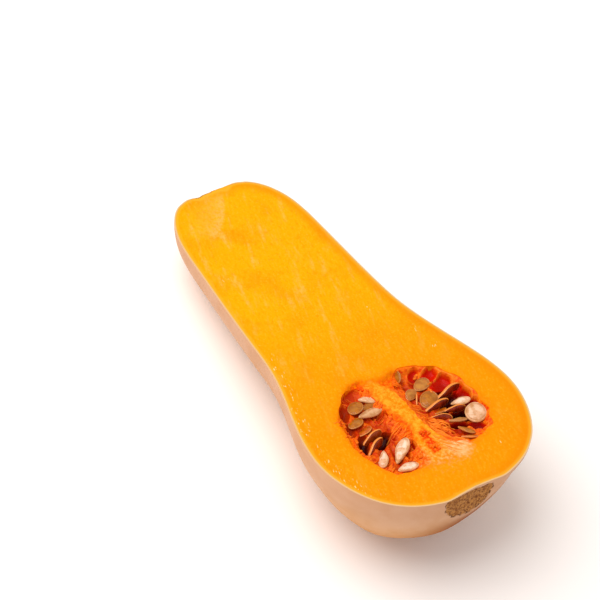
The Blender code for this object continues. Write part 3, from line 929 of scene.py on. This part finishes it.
# %% [markdown]
# ## Strands
# Squash pulp is held together by thin wet strings. They run from the ridge into the lobes, and a
# fringe of them hangs on the outer wall. Each is a tapered tube that follows the
# surface under it and lifts off it a little in the middle.
# %% Strands of pulp
STRANDS = (
    # from u, v to u, v, how far both ends are scattered, how many, radius, lift, tone
    (194, -7, 196, -14.5, 2.5, 7, 0.55, 0.4, 0.25), (198, -6.5, 200.5, -17, 3.5, 12, 0.55, 0.5, 0.3),
    (204, -8, 203, -16, 3, 8, 0.5, 0.4, 0.3), (184, -8, 187, -14, 3.5, 6, 0.45, 0.3, 0.25),
    (178, -7, 180, -11, 3, 5, 0.45, 0.3, 0.35), (196.5, 9.5, 203, 15.5, 1.5, 5, 0.5, 0.7, 0.8),
    (198.5, 8, 209, 18.5, 2, 8, 0.5, 0.9, 0.8), (200.5, 6.5, 212, 16, 2, 9, 0.5, 0.9, 0.8),
    (202.5, 5, 212.5, 11.5, 2, 8, 0.5, 0.6, 0.85), (208, 4.5, 221, 16, 3.5, 14, 0.38, 0.25, 0.8),
    (214, 1, 226, 11, 4, 10, 0.28, 0.1, 0.95), (170, 3, 174, 9.5, 3, 6, 0.4, 0.3, 0.45),
    (188, 7, 192, 12.5, 2.5, 6, 0.45, 0.3, 0.5), (182, -36, 181, -30.5, 5, 8, 0.42, 0.3, 0.3),
    (193, -37, 192, -31.5, 5, 9, 0.42, 0.3, 0.2), (204, -36.5, 202, -31, 4.5, 8, 0.42, 0.3, 0.25),
    (214.8, -30, 212, -25, 3.5, 8, 0.65, 0.4, 0.45), (165, -23, 172, -20, 3.5, 6, 0.38, 0.2, 0.2),
    (163, -12, 169, -14, 3.5, 6, 0.38, 0.2, 0.3),
    # Short thick ones are crumbs of pulp.
    (215, -13, 217, -15, 3, 12, 0.9, 0.5, 0.5), (213, -16, 214.5, -18, 2.5, 6, 0.8, 0.4, 0.4),
    (168.5, 21.5, 170, 23, 1.2, 4, 0.85, 0.4, 0.6), (206, -1.5, 207.5, -3, 2.5, 6, 0.9, 0.5, 0.1),
    (216.5, -2, 218.5, -3, 2.5, 6, 1.1, 0.5, 0.05), (196, 5, 197.2, 6.2, 0.6, 2, 0.45, 0.5, 1.00),
)
STRAND_SIDES, STRAND_STEPS = 6, 12
pick = random.Random(11)


def surface(u, v):
    """The height of what shows at places on the cut face: pulp in the lobes and flesh elsewhere."""
    height = face_relief(u, v)
    for lobe in LOBES:
        share, angle = lobe_share(lobe, u, v)
        within = share < scallops(lobe, angle)
        if within.any():
            height[within] = pulp_top(lobe, share[within], angle[within], u[within], v[within])[0]
    return height


def strand_paths():
    """The middle lines of all strands, with their radii and tones."""
    t = np.linspace(0, 1, STRAND_STEPS + 1)
    paths, radii, tones = [], [], []
    for u0, v0, u1, v1, scatter, count, radius, lift, tone in STRANDS:
        for _ in range(count):
            along, aside = pick.uniform(-1, 1) * scatter, pick.uniform(-1, 1) * scatter * 0.45
            reach = pick.uniform(0.35, 1.1)
            bend = pick.uniform(-1, 1) * 1.3
            du, dv = u1 - u0, v1 - v0
            length = math.hypot(du, dv)
            nu, nv = -dv / length, du / length
            curve = bend * np.sin(math.pi * t) + along
            u = u0 + du * t * reach + nu * curve + aside * du / length
            v = v0 + dv * t * reach + nv * curve + aside * dv / length
            rise = lift * pick.uniform(0.3, 1.3) * np.sin(math.pi * t)
            paths.append(np.stack((u, v, rise), axis=1))
            radii.append(radius * pick.uniform(0.6, 1.25))
            tones.append(np.clip(tone + pick.uniform(-0.5, 0.35), 0, 1))
    every = np.vstack(paths)
    every[:, 2] = np.minimum(every[:, 2] + surface(every[:, 0], every[:, 1]) - 0.15, -0.1)
    return every.reshape(len(paths), -1, 3), radii, tones


def strands_piece():
    """All strands as one piece of tapered tubes."""
    t = np.linspace(0, 1, STRAND_STEPS + 1)
    taper = np.sqrt(np.clip(np.minimum(t, 1 - t) * 4, 0.03, 1))
    points, faces, tones = [], [], []
    each = STRAND_SIDES * len(t)
    for number, (path, radius, tone) in enumerate(zip(*strand_paths())):
        along = np.gradient(path, axis=0)
        along /= np.linalg.norm(along, axis=1)[:, None]
        aside = np.cross(along, (0, 0, 1))
        aside /= np.linalg.norm(aside, axis=1)[:, None]
        above = np.cross(aside, along)
        ring = [
            path + (aside * math.cos(a) + above * math.sin(a)) * (radius * taper)[:, None]
            for a in np.arange(STRAND_SIDES) * math.tau / STRAND_SIDES
        ]
        points.append(np.stack(ring, axis=1).reshape(-1, 3))
        base = number * each
        faces += grid_faces(len(t), STRAND_SIDES, base, closed=True)
        faces += [tuple(range(cap, cap + STRAND_SIDES)) for cap in (base, base + each - STRAND_SIDES)]
        tones.append(np.full(each, tone))
    tone = np.concatenate(tones)
    strands = mesh_object("pulp_strands", np.vstack(points), faces)
    settle(
        strands, pulp_finish, "pulp", ["seed_bed_back", "seed_bed_front"], 60,
        hollow=0.3 * (1 - tone), lip=tone, blend=0 * tone,
    )


strands_piece()

# %% [markdown]
# ## The seeds
# A butternut seed is flat and oval with one pointed end. A raised margin runs round its edge, its
# faces are smooth and slightly domed, and it is wet. Young, flat ones are pale, and those still in the
# pulp are stained tan or brown with an orange edge. On the seeds that stand on their edge the brown
# face is partly painted shade. Each is a shaped lens,
# and the fields of its mesh say how near the margin a point is and how stained and shaded the seed is.
# %% Seed material
seed_finish, add = new_material("wet_seed_coat")
place, _, _, w, margin, stain = read_fields(add, "margin", "stain")
SEED_SPECK, SEED_BLOTCH, SEED_FILM = 0.6, 3, 3.2  # the sizes of its marks
speck = add("TexNoise", place, Scale=1 / SEED_SPECK, Detail=2)
blotch = add("TexNoise", place, Scale=1 / SEED_BLOTCH, Detail=3)
lifted = add("TexNoise", place, Scale=1 / SEED_FILM, Detail=3)
pale, tan, orange, brown = (
    layered(add, light, (dark, (blotch, 0.35, 0.65)))
    for light, dark in (
        ("#e4b994", "#c89260"), ("#b26806", "#985402"), ("#c85c0c", "#aa4406"), ("#902404", "#661002"),
    )
)
# A thin film covers each seed, and looks silvery where it has lifted from the coat. Its pale patches in the
# middle of the seeds are partly that film and partly a painted highlight.
film_and_highlight = product(add, (lifted, 0.42, 0.62), (stain, 0.05, 0.6, 0.75, 0), (margin, 0.8, 0.6))
film_and_highlight_tone = layered(add, "#f2dac6", ("#c8963c", (stain, 0.1, 0.3)))
rim = layered(add, "#dca468", ("#e48c36", (stain, 0.2, 0.9)))
coat = layered(
    add, pale,
    (tan, (stain, 0.05, 0.42)),
    (orange, (stain, 0.5, 0.7)),
    (brown, (stain, 0.75, 0.95)),
    (film_and_highlight_tone, film_and_highlight),
    ("#9c6230", (speck, 0.6, 0.75, 0, 0.35)),
    # The rim is brightest on stained seeds, partly the margin's own colour and partly a painted highlight
    # where light catches the edge, and a darker groove inside it is painted shade.
    (rim, (margin, 0.88, 0.95), (stain, 0.45, 0.7, 0.4, 0.9)),
    ("#7c3c12", (margin, 0.78, 0.85), (margin, 0.9, 0.84, 0, 0.35)),
    # Deep between the seeds juice and shade darken them.
    ("#420600", (w, -5, -8, 0, 0.9)),
)
# A woody coat with an IOR of 1.45, under a film of juice that is the shader's own coat.
finish_with(
    add, coat, (blotch, 0.3, 0.7, 0.18, 0.32), ((speck, 0.06, 0.5), (film_and_highlight, 0.05, 0.4)),
    IOR=1.45, Specular_IOR_Level=0.3, Coat_Weight=0.25, Coat_Roughness=0.1,
)

# %% Seed shapes
SEEDS = {
    # (u, v, w of the middle, heading, dip, roll, length, width, stain): the heading is the way its
    # round end points, the dip is how far that points down, a roll of 90 stands it on its edge,
    # and the width is a share of the length. On seeds that stand on their edge the stain is partly painted
    # shade.
    "back": (
        (165.3, 11.5, -2.6, -20, 7, 58, 9.5, 0.5, 0.4), (175.6, 20.4, -4.5, 106, -6, -5, 10.5, 0.74, 0.36),
        (178.7, 11.2, -4.7, 118, 0, 10, 8.5, 0.74, 0.36), (182.7, 12.1, -5, 144, 0, 86, 8, 0.5, 0.75),
        (185.8, 17.8, -5, 120, -6, 0, 12.2, 0.8, 0.42), (186.4, 30, -4.2, 98, -4, 76, 17, 0.36, 0.93),
        (191.5, 18.8, -4.4, 92, -2, 76, 15.5, 0.36, 0.93), (194.8, 18.9, -5.8, 97, 0, -30, 8, 0.5, 0.6),
        (196, 30.8, -3.2, 79, -3, -12, 11.5, 0.5, 0.12), (199.4, 16.2, -5, 61, 0, 64, 11.5, 0.46, 0.92),
        (198, 25.8, -4.6, 78, 0, 72, 12.5, 0.38, 0.95), (204.9, 22.8, -4.8, 70, 0, -28, 10.5, 0.4, 0.3),
        (206, 33.2, -3.3, -36, 0, 4, 14, 0.84, 0.17), (213.1, 21.9, -4, 34, -3, -20, 9.8, 0.46, 0.45),
        (218.3, 19.9, -3, 66, 0, -36, 9.5, 0.42, 0.6),
    ),
    "front": (
        (171.7, -11.4, -3, 66, 0, -6, 11.3, 0.5, 0.08), (175.5, -12.4, -4.6, 76, 0, 22, 11.5, 0.5, 0.44),
        (172.7, -20.4, -4.1, 120, 0, -14, 9.8, 0.84, 0.42), (179.5, -15.8, -3.8, 86, -2, -18, 14, 0.5, 0.22),
        (181, -26, -4.9, 110, 0, -20, 9.4, 0.8, 0.44), (187.3, -24.6, -5.4, 106, -7, -30, 9, 0.7, 0.64),
        (193, -23.9, -5.2, 101, -8, 66, 13.5, 0.47, 0.85),
        (199.2, -26.6, -5.6, 115, -11, 68, 14.8, 0.46, 0.9),
        (208.5, -16.7, -3.7, 128, -8, -30, 17, 0.46, 0), (208.4, -28, -4.2, -36, 0, 34, 11.5, 0.52, 0.12),
        (219.5, -20.5, -3.2, 84, 0, -15, 12.2, 0.56, 0),
    ),
}
SEED_THICKNESS, POINTEDNESS, ROUNDER = 0.15, 0.45, 1.15
SEED_ROUND, SEED_RINGS = 56, 22
SEED_BEND = 0.25  # no seed is quite flat


def seed_points(length, breadth):
    """Points of one seed lying flat, and how near the margin each is."""
    around = np.tile(np.arange(SEED_ROUND) * math.tau / SEED_ROUND, SEED_RINGS)
    ring = np.repeat(np.linspace(0, 1, SEED_RINGS + 1)[1:], SEED_ROUND)
    ring = np.sin(ring * math.pi / 2)
    along, wide = ring * np.cos(around), ring * np.sin(around)
    pointed = POINTEDNESS - ROUNDER * (breadth - 0.5)  # the broader seeds are rounder too
    width = 1 - pointed * (1 - ease(-1, 0.3, along))
    dome = np.sqrt(np.clip(1 - ring**2, 0, 1))
    raised = 0.3 * np.exp(-(((ring - 0.93) / 0.045) ** 2))
    raised -= 0.1 * np.exp(-(((ring - 0.82) / 0.05) ** 2))
    thick = (0.75 * dome + 0.25 * dome**0.5 + raised * dome**0.4) * SEED_THICKNESS
    upper = np.stack((along, wide * width * breadth, thick, ring), axis=1)
    upper = upper.reshape(SEED_RINGS, SEED_ROUND, 4)
    lower = upper[-2::-1] * (1, 1, -1, 1)
    peaks = [(0, 0, SEED_THICKNESS, 0), (0, 0, -SEED_THICKNESS, 0)]
    points = np.vstack((np.vstack((upper, lower)).reshape(-1, 4), peaks))
    return points[:, :3] * length / 2, points[:, 3]


def seeds_of(lobe):
    """All the seeds of one lobe as one piece."""
    points, faces, margins, stains = [], [], [], []
    for number, (u, v, w, heading, dip, roll, length, breadth, stain) in enumerate(SEEDS[lobe]):
        turn = Matrix.Identity(3)
        for angle, axis in ((heading, "Z"), (dip, "Y"), (roll, "X")):
            turn = turn @ Matrix.Rotation(math.radians(angle), 3, axis)
        flat, margin = seed_points(length, breadth)
        flat[:, 2] += SEED_BEND * grain(flat + number * 31, 7, 9)
        faces += body_faces(2 * SEED_RINGS - 1, SEED_ROUND, number * len(flat))
        points.append(flat @ np.array(turn).T + (u, v, w))
        margins.append(margin)
        stains.append(np.full(len(flat), stain))
    seeds = mesh_object(f"seeds_{lobe}", np.vstack(points), faces)
    settle(
        seeds, seed_finish, "seed", [f"seed_bed_{lobe}"], 75,
        margin=np.concatenate(margins), stain=np.concatenate(stains),
    )


for lobe in LOBES:
    seeds_of(lobe)
